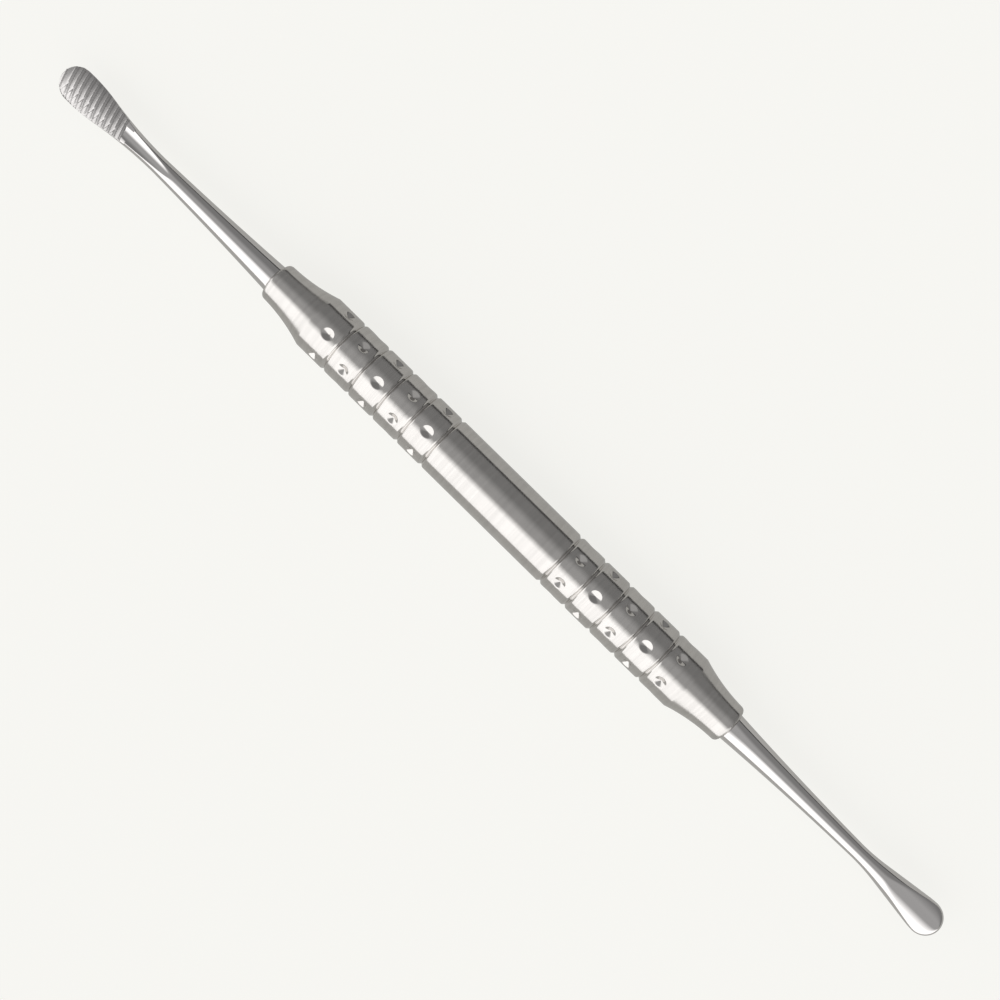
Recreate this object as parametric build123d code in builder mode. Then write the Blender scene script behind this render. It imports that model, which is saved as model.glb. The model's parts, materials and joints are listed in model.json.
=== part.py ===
from build123d import *
from math import cos, radians, tan
import os

# Double-ended bone file: a bored, turned handle with a polished file set in each end.
# X runs along the handle from its middle, Z is up, and all sizes are in millimetres.

# Handle: a straight barrel between two hollow tapers, each ending in a flat nose
handle_d = 9.0
handle_length = 91.0
barrel_length = 73.7
nose_lip = 0.875
nose_rounding = 0.6

# Ring grooves, turned with a square point
rings_per_side = 5
first_ring = 11.9
ring_pitch = 4.92
ring_width = 0.7

# Dimples, drilled with a plain drill point just outside each ring
dimple_d = 2.0
drill_point = 118
dimple_from_ring = 2.14
dimples_per_row = 6

# Tang and shank: the tang fills the handle's bore, and a small step rests on the nose
root_d = 4.5
tang_step = 0.15
tang_length = 12.0
tang_clearance = 0.01
tang_chamfer = 0.3

# Each working end is a turned bulb with a round tip, at its reach from the nose of the handle. From
# its neck the bulb swells along a hollow, then a straight wedge, then a shoulder. The hollow is given
# by its length and by the bulb's diameter at its end.
left_reach = 43.6
left_waist_d = 3.39
left_neck_d = 2.7
left_neck_from_nose = 24.0
left_hollow_length = 10.7
left_hollow_d = 4.38
left_wedge_length = 0.8
left_blade_width = 5.33

# Right end, with a longer wedge
right_reach = 40.75
right_waist_d = 3.14
right_neck_d = 2.4
right_neck_from_nose = 25.2
right_hollow_length = 4.2
right_hollow_d = 2.98
right_wedge_length = 7.3
right_blade_width = 5.24

# Ground back: crowned across the blade, and a little nearer to the axis at the tip
back_length = 14.0
back_start_height = 1.68
back_tip_height = 1.45
back_crown_r = 6.2

# Toothed face: crowned, falling slightly towards the tip. The ramp behind it is hollow both ways, as
# it is ground by a wheel with a round rim.
face_length = 12.9
face_start_height = 0.95
face_tip_height = 0.42
face_crown_r = 8.0
ramp_length = 9.4
ramp_floor = 0.72
ramp_rim_r = 1.9
ramp_sweep = 40

# Teeth: leaning rows, crossed by finer cuts that lean the other way. Lean is in degrees from square
# across the blade, and flanks are in degrees from upright.
row_first = 0.15
row_pitch = 1.09
row_lean = 17
row_depth = 0.34
row_back_flank = 50
row_front_flank = 20
cross_first = 1.2
cross_lean = -17
cross_depth = 0.17
cross_flank = 35
row_sweep = 70

handle_r = handle_d / 2
root_r = root_d / 2
tang_r = root_r - tang_step
bore_r = tang_r + tang_clearance
nose_r = root_r + nose_lip
nose_x = handle_length / 2
barrel_x = barrel_length / 2

os.makedirs("parts", exist_ok=True)


# Handle: one turned section, then the drilled dimples

ring_places = [first_ring + ring_pitch * index for index in range(rings_per_side)]
drill_slope = tan(radians(drill_point / 2))
drill_depth = dimple_d / 2 / drill_slope
drill_height = drill_depth + dimple_d / 2
half_turn = 180 / dimples_per_row

dimple_places = []
for index, ring in enumerate(ring_places):
    for side, stagger in ((-1, index), (1, index + 1)):
        row_x = side * (ring + dimple_from_ring)
        row = PolarLocations(handle_r - drill_depth, dimples_per_row, 90 + stagger % 2 * half_turn)
        dimple_places += [Plane.YZ.offset(row_x).location * spot for spot in row]

with BuildPart() as handle:
    with BuildSketch(Plane.XZ) as turned_section:
        with BuildLine():
            bore = Line((-nose_x, bore_r), (nose_x, bore_r))
            right_nose = Line(bore @ 1, (nose_x, nose_r))
            right_taper = TangentArc(right_nose @ 1, (barrel_x, handle_r), tangent=(-1, 0))
            barrel = Line(right_taper @ 1, (-barrel_x, handle_r))
            left_nose = Line(bore @ 0, (-nose_x, nose_r))
            TangentArc(left_nose @ 1, barrel @ 1, tangent=(1, 0))
        make_face()
        nose_ends = turned_section.vertices().group_by(Axis.X)
        fillet([nose_ends[side].sort_by(Axis.Y)[-1] for side in (0, -1)], nose_rounding)
        with Locations(*[(side * ring, handle_r) for ring in ring_places for side in (-1, 1)]):
            Rectangle(ring_width / 2**0.5, ring_width / 2**0.5, rotation=45, mode=Mode.SUBTRACT)
    revolve(axis=Axis.X)
    with Locations(*dimple_places):
        Cone(
            bottom_radius=0,
            top_radius=drill_height * drill_slope,
            height=drill_height,
            rotation=(0, 90, 0),
            align=(Align.CENTER, Align.CENTER, Align.MIN),
            mode=Mode.SUBTRACT,
        )

handle.part.label = "handle"
export_step(handle.part, "parts/handle.step")


# Working ends, each modelled on the right with its teeth up, then turned into place


def turned_blank(
    tip_x, waist_d, neck_d, neck_from_nose, hollow_length, hollow_d, wedge_length, blade_width
):
    """Whole insert before grinding: one turned section, from inside the handle to the round tip."""
    blade_r = blade_width / 2
    neck_x = nose_x + neck_from_nose
    with BuildPart() as blank:
        with BuildSketch(-Plane.XZ):
            with BuildLine():
                tang_end = Line((nose_x - tang_length, 0), (nose_x - tang_length, tang_r))
                tang_side = Line(tang_end @ 1, (nose_x, tang_r))
                step = Line(tang_side @ 1, (nose_x, root_r))
                waist = ((nose_x + neck_x) / 2, waist_d / 2)
                shank = ThreePointArc(step @ 1, waist, (neck_x, neck_d / 2))
                hollow_end = (neck_x + hollow_length, hollow_d / 2)
                hollow = TangentArc(shank @ 1, hollow_end, tangent=(1, 0))
                wedge = PolarLine(hollow @ 1, wedge_length, direction=hollow % 1)
                shoulder = TangentArc(wedge @ 1, (tip_x - blade_r, blade_r), tangent=hollow % 1)
                tip = RadiusArc(shoulder @ 1, (tip_x, 0), blade_r)
                Line(tip @ 1, tang_end @ 0)
            make_face()
        revolve(axis=Axis.X)
        chamfer(blank.edges().group_by(Axis.X)[0], tang_chamfer)
    return blank.part


def ground_plane(tip_x, length, start_height, tip_height, side):
    """Plane across the start of a ground surface. Its z runs down the surface's crown to the tip, and
    its y points out of the blade: side is 1 for the toothed face, and -1 for the back."""
    return Plane(
        origin=(tip_x - length, 0, side * start_height),
        x_dir=(0, side, 0),
        z_dir=(length, 0, side * (tip_height - start_height)),
    )


def crown_cutter(plane, crown_r, length, blade_width):
    """What lies outside a crowned surface that starts at this plane, as far as past the tip."""
    with BuildPart() as outside:
        with BuildSketch(plane):
            Rectangle(2 * blade_width, 2 * blade_width)
            with Locations((0, -crown_r)):
                Circle(crown_r, mode=Mode.SUBTRACT)
        extrude(amount=2 * length)
    return outside.part


def row_plane(face_plane, distance, lean):
    """Plane that stands on the crown of the face, with its x square to a row that has this lean."""
    square_to_row = face_plane.z_dir.rotate(Axis((0, 0, 0), face_plane.y_dir), lean)
    return Plane(
        origin=face_plane.origin + face_plane.z_dir * distance,
        x_dir=square_to_row,
        z_dir=square_to_row.cross(face_plane.y_dir),
    )


def row_cutter(plane, lean, depth, back_flank, front_flank):
    """Part of a ring that cuts between two rows and follows the crown of the face across the blade."""
    path_r = face_crown_r / cos(radians(lean)) ** 2
    path = Axis(plane.origin - plane.y_dir * path_r, plane.x_dir)
    with BuildPart() as ring:
        with BuildSketch(plane):
            with BuildLine():
                Polyline(
                    (0, -depth),
                    (2 * depth * tan(radians(front_flank)), depth),
                    (-2 * depth * tan(radians(back_flank)), depth),
                    close=True,
                )
            make_face()
        revolve(axis=path, revolution_arc=row_sweep)
    return ring.part.rotate(path, -row_sweep / 2)


def ramp_cutter(face_plane, neck_d):
    """Rim of the wheel that grinds the hollow ramp, from the first row of teeth out to the neck's top."""
    first_row = row_plane(face_plane, row_first, row_lean)
    rise = neck_d / 2 - ramp_floor
    wheel_r = (ramp_length**2 + rise**2) / (2 * rise)
    hub = Axis((first_row.origin.X, 0, ramp_floor + wheel_r), (0, 1, 0))
    with BuildPart() as rim:
        with BuildSketch(Plane.YZ.offset(first_row.origin.X)):
            with Locations((0, ramp_floor + ramp_rim_r)):
                Circle(ramp_rim_r)
        revolve(axis=hub, revolution_arc=ramp_sweep)
    with BuildPart() as cutter:
        add(rim.part.rotate(hub, -ramp_sweep / 2))
        split(bisect_by=Plane(origin=first_row.origin, z_dir=first_row.x_dir), keep=Keep.BOTTOM)
    return cutter.part


def working_end(
    reach, waist_d, neck_d, neck_from_nose, hollow_length, hollow_d, wedge_length, blade_width
):
    """Whole insert: the turned blank with its back, ramp, crowned face and teeth cut into it."""
    tip_x = nose_x + reach
    back_plane = ground_plane(tip_x, back_length, back_start_height, back_tip_height, -1)
    face_plane = ground_plane(tip_x, face_length, face_start_height, face_tip_height, 1)
    face_start = face_plane.offset(-row_pitch)
    with BuildPart() as insert:
        add(
            turned_blank(
                tip_x, waist_d, neck_d, neck_from_nose, hollow_length, hollow_d, wedge_length, blade_width
            )
        )
        add(crown_cutter(back_plane, back_crown_r, back_length, blade_width), mode=Mode.SUBTRACT)
        add(ramp_cutter(face_plane, neck_d), mode=Mode.SUBTRACT)
        add(crown_cutter(face_start, face_crown_r, face_length, blade_width), mode=Mode.SUBTRACT)
        for index in range(int((face_length - row_first) / row_pitch)):
            plane = row_plane(face_plane, row_first + index * row_pitch, row_lean)
            cutter = row_cutter(plane, row_lean, row_depth, row_back_flank, row_front_flank)
            add(cutter, mode=Mode.SUBTRACT)
        for index in range(int((face_length - cross_first) / row_pitch)):
            plane = row_plane(face_plane, cross_first + index * row_pitch, cross_lean)
            cutter = row_cutter(plane, cross_lean, cross_depth, cross_flank, cross_flank)
            add(cutter, mode=Mode.SUBTRACT)
    return insert.part


with BuildPart() as working_end_left:
    left_end = working_end(
        left_reach,
        left_waist_d,
        left_neck_d,
        left_neck_from_nose,
        left_hollow_length,
        left_hollow_d,
        left_wedge_length,
        left_blade_width,
    )
    add(left_end.rotate(Axis.Z, 180))
working_end_left.part.label = "working_end_left"
export_step(working_end_left.part, "parts/working_end_left.step")

with BuildPart() as working_end_right:
    right_end = working_end(
        right_reach,
        right_waist_d,
        right_neck_d,
        right_neck_from_nose,
        right_hollow_length,
        right_hollow_d,
        right_wedge_length,
        right_blade_width,
    )
    add(right_end.rotate(Axis.X, 180))
working_end_right.part.label = "working_end_right"
export_step(working_end_right.part, "parts/working_end_right.step")
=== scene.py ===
import json
import math
from collections import namedtuple

import bmesh
import bpy
import numpy as np
from mathutils import Matrix, Vector


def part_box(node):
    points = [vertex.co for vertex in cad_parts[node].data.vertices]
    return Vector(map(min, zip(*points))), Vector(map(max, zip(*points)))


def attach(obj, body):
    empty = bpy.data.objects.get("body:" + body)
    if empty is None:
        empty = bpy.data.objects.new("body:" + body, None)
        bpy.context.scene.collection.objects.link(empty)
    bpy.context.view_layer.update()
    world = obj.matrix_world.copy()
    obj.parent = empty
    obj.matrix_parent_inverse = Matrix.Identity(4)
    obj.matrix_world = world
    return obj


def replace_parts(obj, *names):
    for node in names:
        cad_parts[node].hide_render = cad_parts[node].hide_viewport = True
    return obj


# Looks of a double-ended bone file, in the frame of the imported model: X runs along the handle, and
# Z points up, out of the left end's teeth. Shapes are worked out in millimetres, and go into
# Blender in metres.
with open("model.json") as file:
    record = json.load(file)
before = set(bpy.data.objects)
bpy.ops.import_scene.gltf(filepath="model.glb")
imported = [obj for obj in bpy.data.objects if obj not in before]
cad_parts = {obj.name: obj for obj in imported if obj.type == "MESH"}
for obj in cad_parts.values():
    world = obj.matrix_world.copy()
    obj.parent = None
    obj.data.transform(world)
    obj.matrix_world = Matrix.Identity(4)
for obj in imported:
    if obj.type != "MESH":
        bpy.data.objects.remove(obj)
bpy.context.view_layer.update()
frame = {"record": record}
MM = 0.001
SLOT_COLORS = {row["slot"]: row["base_color"] for row in frame["record"]["materials"]}

# Handle: a straight barrel, then a hollow taper and a rounded nose at each end
HANDLE_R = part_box("handle")[1].z / MM
NOSE_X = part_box("handle")[1].x / MM
BARREL_X = 36.85
NOSE_R = 3.125
NOSE_ROUNDING = 0.6
BORE_R = 2.11

# Ring grooves. Their rounded shoulders end at the reach.
RINGS_PER_SIDE = 5
FIRST_RING = 11.9
RING_PITCH = 4.92
RINGS = [FIRST_RING + RING_PITCH * index for index in range(RINGS_PER_SIDE)]
RING_DEPTH = 0.36
RING_HALF_WIDTH = 0.4
RING_REACH = 0.56
RING_SOFTNESS = 0.06

# Dimples, drilled just outside each ring groove
DIMPLE_FROM_RING = 2.14
DIMPLES_PER_ROW = 6
DIMPLE_R = 1.0
DRILL_HALF_ANGLE = math.radians(59)
DIMPLE_SOFTNESS = 0.035
DIMPLE_FLOOR_SOFTNESS = 0.015

# Tang, and the step where the shank leaves the handle
ROOT_R = 2.25
TANG_R = 2.1
TANG_LENGTH = 12.0
TANG_CHAMFER = 0.3

# Working ends: turned bulbs with a round tip. Each swells from its neck along a hollow, then a
# straight wedge, then a shoulder.
End = namedtuple("End", "tip_x waist_r neck_x neck_r hollow_length hollow_r wedge_length blade_r")
LEFT = End(
    tip_x=-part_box("working_end_left")[0].x / MM,
    waist_r=1.695,
    neck_x=69.5,
    neck_r=1.35,
    hollow_length=10.7,
    hollow_r=2.19,
    wedge_length=0.8,
    blade_r=2.665,
)
RIGHT = End(
    tip_x=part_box("working_end_right")[1].x / MM,
    waist_r=1.57,
    neck_x=70.7,
    neck_r=1.2,
    hollow_length=4.2,
    hollow_r=1.49,
    wedge_length=7.3,
    blade_r=2.62,
)

# Ground back, toothed face and the hollow ramp behind it
BACK_LENGTH = 14.0
BACK_START = 1.68
BACK_TIP = 1.45
BACK_CROWN_R = 6.2
FACE_LENGTH = 12.9
FACE_START = 0.95
FACE_TIP = 0.42
FACE_CROWN_R = 8.0
RAMP_LENGTH = 9.4
RAMP_FLOOR = 0.72
RAMP_RIM_R = 1.9

# Teeth: leaning rows of cuts, with slopes as run over depth. The gentle wall of each cut, its
# front, faces the handle. Past each crest the land is scooped out towards the tip.
ROW_FIRST = 0.15
ROW_PITCH = 1.09
ROW_LEAN = math.tan(math.radians(17))
ROW_DEPTH = 0.34
ROW_BACK = math.tan(math.radians(20))
ROW_FRONT = math.tan(math.radians(50))
ROW_SOFTNESS = 0.04
SCOOP_DEPTH = 0.2
SCOOP_LENGTH = 0.25

# Finer cuts that lean the other way. Their depth goes from the first value to the second over this
# range of y.
CROSS_FIRST = 1.2
CROSS_DEPTHS = (0.10, 0.27)
CROSS_FADE = (-0.6, 1.4)
CROSS_FLANK = math.tan(math.radians(35))


def soft_min(a, b, softness):
    """Lower of two heights, with the corner between them rounded off."""
    return 0.5 * (a + b - np.sqrt((a - b) ** 2 + softness**2))


def mesh_piece(name, vertices, faces, materials, face_materials, weld=0.0):
    """Smooth-shaded piece from points in millimetres, fixed to the part's one body. Points no
    further apart than weld are joined, and face_materials has the index of each face's material."""
    mesh = bpy.data.meshes.new(name)
    mesh.from_pydata((np.asarray(vertices) * MM).tolist(), [], faces)
    for material in materials:
        mesh.materials.append(material)
    mesh.polygons.foreach_set("material_index", face_materials)
    mesh.polygons.foreach_set("use_smooth", [True] * len(mesh.polygons))
    welded = bmesh.new()
    welded.from_mesh(mesh)
    bmesh.ops.remove_doubles(welded, verts=welded.verts, dist=weld * MM)
    bmesh.ops.recalc_face_normals(welded, faces=welded.faces)
    welded.to_mesh(mesh)
    welded.free()
    piece = bpy.data.objects.new(name, mesh)
    bpy.context.scene.collection.objects.link(piece)
    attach(piece, "root")
    return piece


# Materials

NOISE_ROUGHNESS = 0.6
BUMP_DISTANCE = 0.02 * MM
QUARTER_TURN = 0.25

# Fine lines, the broad tone made of the same lines at a coarser scale, and smears that are as wide
# as they are long. A range is the part of the noise that is spread over the whole effect.
FINE_DETAIL = 5.0
FINE_OFFSET = (0.0, 0.0, 0.0)
FINE_RANGE = (0.25, 0.75)
BROAD_SCALE = 0.13
BROAD_DETAIL = 3.0
BROAD_OFFSET = (3.1, 1.7, 0.4)
BROAD_RANGE = (0.3, 0.7)
SMEAR_LINES = (180.0, 180.0, 180.0)
SMEAR_DETAIL = 3.0
SMEAR_OFFSET = (0.2, 0.5, 0.9)
SMEAR_RANGE = (0.45, 0.8)
SMEAR_ROUGHNESS = 0.015


class Nodes:
    """Short calls that add shader nodes to one tree."""

    def __init__(self, tree):
        self.tree = tree
        tree.nodes.clear()

    def add(self, kind, inputs=None, **settings):
        node = self.tree.nodes.new(kind)
        for key, value in settings.items():
            setattr(node, key, value)
        for key, value in (inputs or {}).items():
            if isinstance(value, bpy.types.NodeSocket):
                self.tree.links.new(value, node.inputs[key])
            else:
                node.inputs[key].default_value = value
        return node

    def math(self, operation, a, b=0.0, c=0.0):
        return self.add("ShaderNodeMath", {0: a, 1: b, 2: c}, operation=operation).outputs[0]

    def spread(self, value, low, high, to_low, to_high):
        inputs = {0: value, 1: low, 2: high, 3: to_low, 4: to_high}
        return self.add("ShaderNodeMapRange", inputs, interpolation_type="SMOOTHSTEP").outputs[0]

    def mix(self, share, a, b):
        return self.add("ShaderNodeMix", {0: share, 6: a, 7: b}, data_type="RGBA").outputs[2]

    def noise(self, stretch, detail, offset):
        where = self.add("ShaderNodeTexCoord").outputs["Object"]
        mapping = {"Vector": where, "Scale": stretch, "Location": offset}
        inputs = {
            "Vector": self.add("ShaderNodeMapping", mapping).outputs[0],
            "Scale": 1.0,
            "Detail": detail,
            "Roughness": NOISE_ROUGHNESS,
        }
        return self.add("ShaderNodeTexNoise", inputs).outputs[0]


def rgba(color):
    return (*color, 1.0)


def shade(color, share):
    return rgba([channel * share for channel in color])


def steel(name, color, contrast, roughness, lines, relief, anisotropic=0.0):
    """Steel with fine machining lines. The lines are noise with this stretch along X, Y and Z. They
    vary the tone by the contrast, the roughness within its range, and the height by the relief."""
    material = bpy.data.materials.new(name)
    material.use_nodes = True
    n = Nodes(material.node_tree)
    fine = n.noise(lines, FINE_DETAIL, FINE_OFFSET)
    broad = n.noise([value * BROAD_SCALE for value in lines], BROAD_DETAIL, BROAD_OFFSET)
    smear = n.noise(SMEAR_LINES, SMEAR_DETAIL, SMEAR_OFFSET)
    tone = n.mix(
        n.spread(broad, *BROAD_RANGE, 0.0, 1.0),
        shade(color, 1 - contrast),
        shade(color, 1 + contrast),
    )
    rough = n.math(
        "ADD",
        n.spread(fine, *FINE_RANGE, *roughness),
        n.spread(smear, *SMEAR_RANGE, 0.0, SMEAR_ROUGHNESS),
    )
    bump = n.add("ShaderNodeBump", {"Strength": relief, "Distance": BUMP_DISTANCE, "Height": fine})
    inputs = {
        "Base Color": tone,
        "Metallic": 1.0,
        "Roughness": rough,
        "Normal": bump.outputs[0],
        "Anisotropic": anisotropic,
    }
    if anisotropic:
        inputs["Tangent"] = n.add("ShaderNodeTangent", direction_type="RADIAL", axis="X").outputs[0]
        inputs["Anisotropic Rotation"] = QUARTER_TURN
    shader = n.add("ShaderNodeBsdfPrincipled", inputs)
    n.add("ShaderNodeOutputMaterial", {0: shader.outputs[0]})
    return material


# Turned skin of the handle, which blurs reflections along X only, and the cut walls of its grooves
# and dimples
handle_steel = steel(
    "handle_satin_steel",
    SLOT_COLORS["handle_satin_steel"],
    contrast=0.05,
    roughness=(0.20, 0.24),
    lines=(14000, 120, 120),
    relief=0.04,
    anisotropic=1.0,
)
cut_steel = steel(
    "handle_cut_steel",
    SLOT_COLORS["handle_satin_steel"],
    contrast=0.05,
    roughness=(0.10, 0.16),
    lines=(1500, 900, 900),
    relief=0.05,
)

# Polished working ends, and their filed teeth, whose colour is a little darker: painted shade on the
# toothed face
TEETH_PAINTED_SHADE_SHARE = 0.84
polished_steel = steel(
    "working_end_polished_steel",
    SLOT_COLORS["working_end_steel"],
    contrast=0.04,
    roughness=(0.05, 0.10),
    lines=(60, 1500, 1500),
    relief=0.04,
)
filed_steel = steel(
    "working_end_filed_steel",
    [channel * TEETH_PAINTED_SHADE_SHARE for channel in SLOT_COLORS["working_end_steel"]],
    contrast=0.12,
    roughness=(0.28, 0.40),
    lines=(900, 2600, 900),
    relief=0.25,
)


# Handle: rows of points around the axis, with gaps that square cells fill, one for each dimple

AROUND = 120
BAND_ROWS = 5
BAND_MARGIN = 1.0
GROOVE_ROWS = 21
TAPER_ROWS = 26
NOSE_ROWS = 9
NOSE_TURN = 82
HANDLE_WELD = 0.002

# Rows beside two sharp changes: where the taper leaves the barrel, and where the shank meets the
# nose
EDGE_FAR, EDGE_NEAR, EDGE_CLOSE = 1.0, 0.3, 0.06
SEAM_MARGIN = 0.15

# A cell's rings are shares of the dimple's rim. Its blends go from the last ring to the outline.
CELL_AROUND = AROUND // DIMPLES_PER_ROW
CELL_ALONG = 10
CELL_HALF_LENGTH = 1.3
CELL_RINGS = [0.12, 0.3, 0.5, 0.7, 0.84, 0.92, 0.97, 1.02, 1.08, 1.18]
CELL_CUT_RINGS = 6
CELL_BLENDS = [0.35, 0.7, 1.0]

# Materials of the handle, in the order of their indexes
TURNED, CUT = 0, 1
HANDLE_FINISHES = [handle_steel, cut_steel]


def row_around(x, r):
    angles = 2 * math.pi * np.arange(AROUND) / AROUND
    return np.column_stack([np.full(AROUND, x), r * np.sin(angles), r * np.cos(angles)])


def turned_radius(x):
    """Radius of the turned handle at x, without its dimples. The grooves' shoulders are rounded."""
    if x > BARREL_X:
        length = NOSE_X - BARREL_X
        fall = HANDLE_R - NOSE_R
        arc_r = (length**2 + fall**2) / (2 * fall)
        return NOSE_R + arc_r - math.sqrt(arc_r**2 - (NOSE_X - x) ** 2)
    gap = min(abs(x - ring) for ring in RINGS)
    if gap > RING_REACH:
        return HANDLE_R
    groove = HANDLE_R - RING_DEPTH * (1 - gap / RING_HALF_WIDTH)
    return soft_min(HANDLE_R, groove, RING_SOFTNESS)


def turned_stretches():
    """Places along X of the rows, in stretches that end where a row of dimple cells begins."""
    groove = np.linspace(-RING_REACH, RING_REACH, GROOVE_ROWS)
    stretches = []
    places = list(np.linspace(0, FIRST_RING - BAND_MARGIN, BAND_ROWS))
    for ring in RINGS:
        places += list(ring + groove)
        stretches.append(places + [ring + DIMPLE_FROM_RING - CELL_HALF_LENGTH])
        places = [ring + DIMPLE_FROM_RING + CELL_HALF_LENGTH]
    places += [BARREL_X - EDGE_FAR, BARREL_X - EDGE_NEAR, BARREL_X - EDGE_CLOSE, BARREL_X]
    places.append(BARREL_X + EDGE_CLOSE)
    places += list(np.linspace(BARREL_X + EDGE_NEAR, NOSE_X - NOSE_ROUNDING, TAPER_ROWS))
    stretches.append(places)
    return stretches


def nose_profile():
    """Points (x, r) of the rounded nose, from the taper in to the bore."""
    middle_x = NOSE_X - NOSE_ROUNDING
    middle_r = NOSE_R - NOSE_ROUNDING
    turns = np.radians(np.linspace(NOSE_TURN, 0, NOSE_ROWS))
    rounded = [
        (middle_x + NOSE_ROUNDING * math.cos(turn), middle_r + NOSE_ROUNDING * math.sin(turn))
        for turn in turns
    ]
    return rounded + [(NOSE_X, ROOT_R + SEAM_MARGIN), (NOSE_X, ROOT_R), (NOSE_X, BORE_R)]


def join_rows(vertices, faces, kinds, rows):
    """Faces from each row to the next. Those in a ring groove get the cut finish."""
    start = len(vertices)
    for row in rows:
        vertices.extend(row.tolist())
    for i in range(len(rows) - 1):
        here = start + i * AROUND
        for j in range(AROUND):
            k = (j + 1) % AROUND
            faces.append((here + j, here + k, here + AROUND + k, here + AROUND + j))
        middle = abs(rows[i][0, 0] + rows[i + 1][0, 0]) / 2
        in_groove = min(abs(middle - ring) for ring in RINGS) < RING_HALF_WIDTH
        kinds += [CUT if in_groove else TURNED] * AROUND


def cell_outline():
    """Points (along X, angle around the axis) on the four sides of a dimple's cell."""
    half_arc = math.pi / DIMPLES_PER_ROW
    around = np.linspace(-half_arc, half_arc, CELL_AROUND + 1)[:-1]
    along = np.linspace(-CELL_HALF_LENGTH, CELL_HALF_LENGTH, CELL_ALONG + 1)[:-1]
    sides = [(CELL_HALF_LENGTH, angle) for angle in around]
    sides += [(-place, half_arc) for place in along]
    sides += [(-CELL_HALF_LENGTH, -angle) for angle in around]
    sides += [(place, -half_arc) for place in along]
    return np.array(sides)


def cell_directions():
    """Direction from the dimple's middle to each point of its cell's outline."""
    corner = math.atan2(HANDLE_R * math.pi / DIMPLES_PER_ROW, CELL_HALF_LENGTH)
    long_side = np.linspace(-corner, corner, CELL_AROUND + 1)[:-1]
    short_side = np.linspace(corner, math.pi - corner, CELL_ALONG + 1)[:-1]
    return np.concatenate([long_side, short_side, long_side + math.pi, short_side + math.pi])


def dimple_cell(vertices, faces, kinds, x_middle, turn):
    """One dimple: a drilled cone with a softened rim, joined to the four sides of its cell."""
    sides = cell_outline()
    directions = cell_directions()
    cosine, sine = np.cos(directions), np.sin(directions)
    rise = 1 / math.tan(DRILL_HALF_ANGLE)
    floor_r = HANDLE_R - DIMPLE_R * rise

    # The rim is where the cone meets the barrel: a root of a * rim**2 + 2 * b * rim = c
    a = rise**2 + sine**2
    b = floor_r * rise
    c = HANDLE_R**2 - floor_r**2
    rim = (-b + np.sqrt(b**2 + a * c)) / a

    def place(along, sideways, height):
        y = height * math.sin(turn) + sideways * math.cos(turn)
        z = height * math.cos(turn) - sideways * math.sin(turn)
        return np.column_stack([x_middle + along, y, z]).tolist()

    start = len(vertices)
    middle = np.zeros(1)
    vertices.extend(place(middle, middle, middle + floor_r + DIMPLE_FLOOR_SOFTNESS))
    for share in CELL_RINGS:
        out = rim * share
        cone = floor_r + np.hypot(out * rise, DIMPLE_FLOOR_SOFTNESS)
        skin = np.sqrt(HANDLE_R**2 - (out * sine) ** 2)
        softness = DIMPLE_SOFTNESS if share < CELL_RINGS[-1] else 0.0
        vertices.extend(place(out * cosine, out * sine, soft_min(cone, skin, softness)))
    last_along = rim * CELL_RINGS[-1] * cosine
    last_angle = np.arcsin(rim * CELL_RINGS[-1] * sine / HANDLE_R)
    for blend in CELL_BLENDS:
        along = last_along * (1 - blend) + sides[:, 0] * blend
        angle = last_angle * (1 - blend) + sides[:, 1] * blend
        vertices.extend(place(along, HANDLE_R * np.sin(angle), HANDLE_R * np.cos(angle)))

    count = len(sides)
    for j in range(count):
        k = (j + 1) % count
        faces.append((start, start + 1 + j, start + 1 + k))
        kinds.append(CUT)
        for ring in range(len(CELL_RINGS) + len(CELL_BLENDS) - 1):
            here = start + 1 + ring * count
            faces.append((here + j, here + count + j, here + count + k, here + k))
            kinds.append(CUT if ring < CELL_CUT_RINGS else TURNED)


def build_handle():
    vertices, faces, kinds = [], [], []
    stretches = turned_stretches()
    for side in (-1, 1):
        for places in stretches:
            rows = [row_around(side * x, turned_radius(x)) for x in places]
            if places is stretches[-1]:
                rows += [row_around(side * x, r) for x, r in nose_profile()]
            join_rows(vertices, faces, kinds, rows)
        for index, ring in enumerate(RINGS):
            stagger = (index if side < 0 else index + 1) % 2
            for place in range(DIMPLES_PER_ROW):
                turn = (2 * place + stagger) * math.pi / DIMPLES_PER_ROW
                dimple_cell(vertices, faces, kinds, side * (ring + DIMPLE_FROM_RING), turn)
    bore = [row_around(-NOSE_X, BORE_R), row_around(NOSE_X, BORE_R)]
    join_rows(vertices, faces, kinds, bore)
    return mesh_piece(
        "turned_handle", vertices, faces, HANDLE_FINISHES, kinds, HANDLE_WELD
    )


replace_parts(build_handle(), "handle")


# Working ends, each built with its tip towards +X and its teeth up, then turned into place. A grid
# covers each one: its lines go across the end, and its points go around it.

ACROSS = 64
SHANK_LINES = 60
RAMP_LINES = 60
TIP_LINES = 24
TOOTH_STEP = 0.05
BISECTIONS = 40

# The lines turn from square to the lean of the teeth over this length. They crowd together at the
# tip, and the last one stops just short of it.
SHEAR_LENGTH = 6.0
TIP_STRETCH = 0.6
LAST_SHARE = 0.999

# How far the edges of the face and the back are worn round. The back rolls off more at the tip.
EDGE_SOFTNESS = 0.05
BACK_SOFTNESS = 0.12
BACK_TIP_SOFTNESS = 0.75
BACK_TIP_LENGTH = 3.0

# A half width, and a height, that is outside every end
OUTSIDE = 3.5

# Materials of the working ends, in the order of their indexes
POLISHED, FILED = 0, 1
END_FINISHES = [polished_steel, filed_steel]


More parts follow.
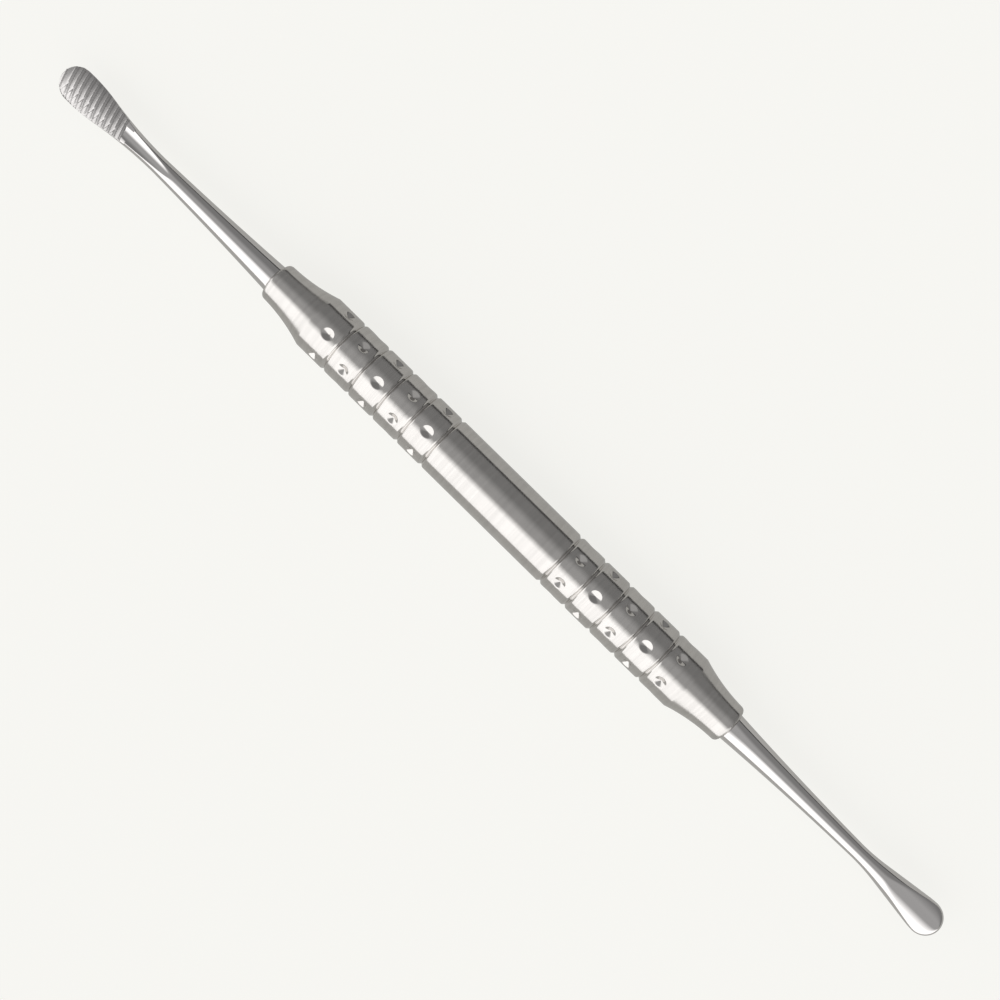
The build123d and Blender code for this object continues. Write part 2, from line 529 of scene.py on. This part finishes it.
def tangent_arc(start, angle, end):
    """Height function of the arc that leaves start at this angle and meets end, and the angle at
    which it meets it."""
    chord = np.subtract(end, start)
    normal = np.array([-math.sin(angle), math.cos(angle)])
    radius = chord @ chord / (2 * chord @ normal)
    middle = start + radius * normal

    def height(x):
        drop = np.sqrt(np.maximum(radius**2 - (x - middle[0]) ** 2, 0))
        return middle[1] - math.copysign(1, radius) * drop

    return height, 2 * math.atan2(chord[1], chord[0]) - angle


def turned_outline(end):
    """Half width of the turned blank anywhere from the handle's nose to the round tip."""
    shank_x = [NOSE_X, (NOSE_X + end.neck_x) / 2, end.neck_x]
    shank = np.poly1d(np.polyfit(shank_x, [ROOT_R, end.waist_r, end.neck_r], 2))
    hollow_x = end.neck_x + end.hollow_length
    hollow, angle = tangent_arc((end.neck_x, end.neck_r), 0.0, (hollow_x, end.hollow_r))
    wedge_x = hollow_x + end.wedge_length * math.cos(angle)
    wedge_r = end.hollow_r + end.wedge_length * math.sin(angle)
    tip_middle = end.tip_x - end.blade_r
    shoulder, _ = tangent_arc((wedge_x, wedge_r), angle, (tip_middle, end.blade_r))

    def half_width(x):
        wedge = end.hollow_r + (x - hollow_x) * math.tan(angle)
        tip = np.sqrt(np.maximum(end.blade_r**2 - (x - tip_middle) ** 2, 0))
        stretches = [x < end.neck_x, x < hollow_x, x < wedge_x, x < tip_middle]
        return np.select(stretches, [shank(x), hollow(x), wedge, shoulder(x)], tip)

    return half_width


def ramp_height(x, y, end, first_row):
    """Hollow ramp, ground by the round rim of a wheel that stands over the first row."""
    rise = end.neck_r - RAMP_FLOOR
    wheel_r = (RAMP_LENGTH**2 + rise**2) / (2 * rise)
    rim_r = wheel_r - RAMP_RIM_R + np.sqrt(np.maximum(RAMP_RIM_R**2 - y**2, 0))
    floor = RAMP_FLOOR + wheel_r - np.sqrt(rim_r**2 - (x - first_row) ** 2)
    return np.where(np.abs(y) < RAMP_RIM_R, floor, OUTSIDE)


def tooth_depth(x, y, face_x):
    """Depth of the rows and of the finer cuts across them, below the crowned face."""
    along = x + y * ROW_LEAN - face_x - ROW_FIRST
    rows = int((FACE_LENGTH - ROW_FIRST) / ROW_PITCH)
    row = np.clip(np.round(along / ROW_PITCH), 0, rows - 1)
    gap = along - row * ROW_PITCH
    row_cut = ROW_DEPTH - np.maximum(gap / ROW_FRONT, -gap / ROW_BACK)
    from_crest = np.mod(along - ROW_DEPTH * ROW_FRONT, ROW_PITCH)
    crest_cut = SCOOP_DEPTH * (1 - np.exp(-from_crest / SCOOP_LENGTH))
    across = x - y * ROW_LEAN - face_x - CROSS_FIRST
    cuts = int((FACE_LENGTH - CROSS_FIRST) / ROW_PITCH)
    cross = np.clip(np.round(across / ROW_PITCH), 0, cuts - 1)
    cross_depth = np.interp(y, CROSS_FADE, CROSS_DEPTHS)
    cross_cut = cross_depth - np.abs(across - cross * ROW_PITCH) / CROSS_FLANK
    return -soft_min(-np.maximum(row_cut, cross_cut), -crest_cut, ROW_SOFTNESS)


def ground_height(x, y, end):
    """Height of the toothed face, and of the ramp behind its first row."""
    face_x = end.tip_x - FACE_LENGTH
    first_row = face_x + ROW_FIRST
    crown = FACE_CROWN_R - np.sqrt(FACE_CROWN_R**2 - y**2)
    face = FACE_START + (FACE_TIP - FACE_START) * (x - face_x) / FACE_LENGTH - crown
    ramp = ramp_height(x, y, end, first_row)
    shelf = np.where(x > face_x - ROW_PITCH, np.minimum(ramp, face), ramp)
    return np.where(x + y * ROW_LEAN > first_row, face - tooth_depth(x, y, face_x), shelf)


def back_height(x, y, end):
    """Depth of the crowned back below the middle plane."""
    fall = (BACK_START - BACK_TIP) * (x - end.tip_x + BACK_LENGTH) / BACK_LENGTH
    return BACK_START - fall - BACK_CROWN_R + np.sqrt(BACK_CROWN_R**2 - y**2)


def grid_lines(end):
    """Places of the lines across the end, and how far each leans: square to the shank, then in line
    with the rows of teeth."""
    face_x = end.tip_x - FACE_LENGTH
    ramp_x = face_x - RAMP_LENGTH
    last = end.tip_x - end.blade_r + end.blade_r * math.hypot(1, ROW_LEAN)
    tip_x = last - TIP_STRETCH
    lines = np.concatenate([
        np.linspace(NOSE_X, ramp_x, SHANK_LINES)[:-1],
        np.linspace(ramp_x, face_x - ROW_PITCH, RAMP_LINES)[:-1],
        np.arange(face_x - ROW_PITCH, tip_x, TOOTH_STEP),
        tip_x + TIP_STRETCH * np.sin(np.linspace(0, LAST_SHARE, TIP_LINES) * math.pi / 2),
    ])
    turn = np.clip((lines - face_x + ROW_PITCH + SHEAR_LENGTH) / SHEAR_LENGTH, 0, 1)
    return lines, ROW_LEAN * turn**2 * (3 - 2 * turn)


def line_ends(half_width, lines, lean, middle):
    """Where each leaning line leaves the outline, to both sides of its middle."""
    ends = []
    for outside in (-OUTSIDE, OUTSIDE):
        inner = middle
        outer = np.full(len(lines), outside)
        for _ in range(BISECTIONS):
            y = (inner + outer) / 2
            within = half_width(lines - y * lean) > np.abs(y)
            inner, outer = np.where(within, y, inner), np.where(within, outer, y)
        ends.append(inner)
    return ends


def end_grid(end):
    """Points (line, place around, xyz) of the end outside the handle, and which of them are on the
    toothed face."""
    half_width = turned_outline(end)
    lines, lean = grid_lines(end)
    past_middle = np.maximum(lines - end.tip_x + end.blade_r, 0)
    low, high = line_ends(half_width, lines, lean, lean * past_middle / (1 + lean**2))
    spacing = np.sin(np.linspace(-1, 1, ACROSS + 1) * math.pi / 2)
    y = ((low + high) / 2)[:, None] + ((high - low) / 2)[:, None] * spacing
    x = lines[:, None] - y * lean[:, None]

    # Both edges stay sharp where the turned outline is thin
    dome = np.sqrt(np.maximum(half_width(x) ** 2 - y**2, 0))
    dome[:, [0, -1]] = 0
    thickness = np.minimum(1, dome)
    ground = np.maximum(ground_height(x, y, end), -dome)
    top = soft_min(dome, ground, EDGE_SOFTNESS * thickness)
    near_tip = np.clip((x - end.tip_x + BACK_TIP_LENGTH) / BACK_TIP_LENGTH, 0, 1)
    softness = BACK_SOFTNESS + (BACK_TIP_SOFTNESS - BACK_SOFTNESS) * near_tip
    back = np.maximum(back_height(x, y, end), 0)
    bottom = -soft_min(dome, back, softness * thickness)
    bottom[:, [0, -1]] = 0
    bottom = np.minimum(bottom, top)

    first_row = end.tip_x - FACE_LENGTH + ROW_FIRST
    toothed = (x + y * ROW_LEAN > first_row) & (ground < dome)
    upper = np.stack([x, y, top], axis=2)
    lower = np.stack([x, y, bottom], axis=2)[:, -2:0:-1]
    around = np.concatenate([upper, lower], axis=1)
    return around, np.pad(toothed, ((0, 0), (0, lower.shape[1])))


def tang_rows(circle):
    """Rows of the tang inside the handle, from its chamfered end out to the step at the nose."""
    tang_x = NOSE_X - TANG_LENGTH
    profile = [
        (tang_x, TANG_R - TANG_CHAMFER),
        (tang_x + TANG_CHAMFER, TANG_R),
        (NOSE_X, TANG_R),
    ]
    return [np.column_stack([np.full(len(circle), x), circle * r]) for x, r in profile]


def build_end(name, end, turn):
    grid, toothed = end_grid(end)
    tang = tang_rows(grid[0][:, 1:] / ROOT_R)
    rows = np.concatenate([tang, grid])
    toothed = np.concatenate([np.zeros((len(tang), toothed.shape[1]), bool), toothed])
    count = rows.shape[1]
    faces, kinds = [], []
    for i in range(len(rows) - 1):
        here = i * count
        for j in range(count):
            k = (j + 1) % count
            faces.append((here + j, here + k, here + count + k, here + count + j))
            kinds.append(FILED if toothed[i][j] and toothed[i + 1][k] else POLISHED)
    last = (len(rows) - 1) * count
    faces += [tuple(range(count)), tuple(range(last, last + count))]
    kinds += [POLISHED, POLISHED]
    vertices = rows.reshape(-1, 3) @ np.array(turn).T
    return mesh_piece(name, vertices, faces, END_FINISHES, kinds)


LEFT_TURN = Matrix.Rotation(math.pi, 3, "Z")
RIGHT_TURN = Matrix.Rotation(math.pi, 3, "X")
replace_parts(build_end("toothed_end_left", LEFT, LEFT_TURN), "working_end_left")
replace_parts(build_end("toothed_end_right", RIGHT, RIGHT_TURN), "working_end_right")


# Floor

FLOOR_COLOR = (0.96, 0.955, 0.92)
FLOOR_GLOW = 0.85
# The steel sees a dimmer floor glow than the camera does: painted shade, standing in for the object's
# own shade on the floor near it.
FLOOR_MIRRORED_GLOW = 0.42
FLOOR_SIZE = 3.0
FLOOR_CORNERS = [(-1, -1), (1, -1), (1, 1), (-1, 1)]


def build_floor():
    """Pale floor under the handle. It glows towards the camera, glows more dimly in the steel as
    painted shade, and takes the shadow."""
    corners = [(x * FLOOR_SIZE, y * FLOOR_SIZE, 0) for x, y in FLOOR_CORNERS]
    mesh = bpy.data.meshes.new("floor")
    mesh.from_pydata(corners, [], [(0, 1, 2, 3)])
    floor = bpy.data.objects.new("floor", mesh)
    floor.location = (0, 0, -HANDLE_R * MM)
    bpy.context.scene.collection.objects.link(floor)
    material = bpy.data.materials.new("floor")
    material.use_nodes = True
    n = Nodes(material.node_tree)
    ray = n.add("ShaderNodeLightPath")
    mirrored = n.math("MULTIPLY", ray.outputs["Is Glossy Ray"], FLOOR_MIRRORED_GLOW)
    strength = n.math("MULTIPLY_ADD", ray.outputs["Is Camera Ray"], FLOOR_GLOW, mirrored)
    paint = n.add("ShaderNodeBsdfDiffuse", {"Color": shade(FLOOR_COLOR, 1 - FLOOR_GLOW)})
    glow = n.add("ShaderNodeEmission", {"Color": rgba(FLOOR_COLOR), "Strength": strength})
    both = n.add("ShaderNodeAddShader", {0: paint.outputs[0], 1: glow.outputs[0]})
    n.add("ShaderNodeOutputMaterial", {0: both.outputs[0]})
    mesh.materials.append(material)


build_floor()


# Studio: plain soft light, as strengths by the angle in degrees from straight up towards +Y. A large
# softbox fills the -Y side, the room above is grey, the far side is darker, and a dark gap lies where
# that side meets the floor.

SOFTBOX = 1.6
ROOM = 0.45
FAR_SIDE = 0.25
GAP = 0.05
STUDIO = [
    (-90, SOFTBOX), (-30, SOFTBOX), (-10, ROOM), (15, ROOM),
    (40, FAR_SIDE), (78, FAR_SIDE), (83, GAP), (90, GAP),
]
BACKDROP = (0.922, 0.914, 0.880)


def build_studio():
    """World that lights the object by the angle, and shows the camera a plain backdrop."""
    world = bpy.data.worlds.new("studio")
    bpy.context.scene.world = world
    world.use_nodes = True
    n = Nodes(world.node_tree)
    way = n.add("ShaderNodeSeparateXYZ", {0: n.add("ShaderNodeTexCoord").outputs["Generated"]})
    angle = n.math("ARCTAN2", way.outputs[1], way.outputs[2])
    ramp = n.add("ShaderNodeValToRGB", {0: n.math("MULTIPLY_ADD", angle, 1 / math.pi, 0.5)})
    elements = ramp.color_ramp.elements
    elements.remove(elements[-1])
    for index, (degrees, strength) in enumerate(STUDIO):
        position = degrees / 180 + 0.5
        element = elements.new(position) if index else elements[0]
        element.position = position
        element.color = rgba([strength] * 3)
    room = n.add("ShaderNodeBackground", {0: ramp.outputs[0], 1: 1.0})
    plain = n.add("ShaderNodeBackground", {0: rgba(BACKDROP), 1: 1.0})
    camera_ray = n.add("ShaderNodeLightPath").outputs["Is Camera Ray"]
    shown = n.add("ShaderNodeMixShader", {0: camera_ray, 1: room.outputs[0], 2: plain.outputs[0]})
    n.add("ShaderNodeOutputWorld", {0: shown.outputs[0]})


build_studio()
bpy.context.scene.view_settings.view_transform = "Standard"


# Camera: above the middle of the handle, leaning a little towards +Y and the right end. It sees the
# view width, in millimetres, at its distance.

CAMERA_DISTANCE = 196.0
LEAN_TO_Y = math.radians(4.0)
LEAN_TO_X = math.radians(2.1)
IMAGE_TURN = math.radians(44.47)
VIEW_WIDTH = 143.15
LOOKS_AT = Vector((-0.19, 0, 0))
SENSOR_WIDTH = 36.0


def build_camera():
    data = bpy.data.cameras.new("camera")
    data.sensor_width = SENSOR_WIDTH
    data.lens = SENSOR_WIDTH * CAMERA_DISTANCE / VIEW_WIDTH
    data.clip_start = 0.01
    data.clip_end = 20.0
    camera = bpy.data.objects.new("camera", data)
    bpy.context.scene.collection.objects.link(camera)
    back = Vector((math.tan(LEAN_TO_X), math.tan(LEAN_TO_Y), 1)).normalized()
    along = Vector((1, 0, 0)) - back * back.x
    along.normalize()
    across = back.cross(along)
    right = along * math.cos(IMAGE_TURN) + across * math.sin(IMAGE_TURN)
    up = back.cross(right)
    turned = Matrix((right, up, back)).transposed().to_4x4()
    camera.matrix_world = Matrix.Translation((LOOKS_AT + back * CAMERA_DISTANCE) * MM) @ turned
    bpy.context.scene.camera = camera


build_camera()
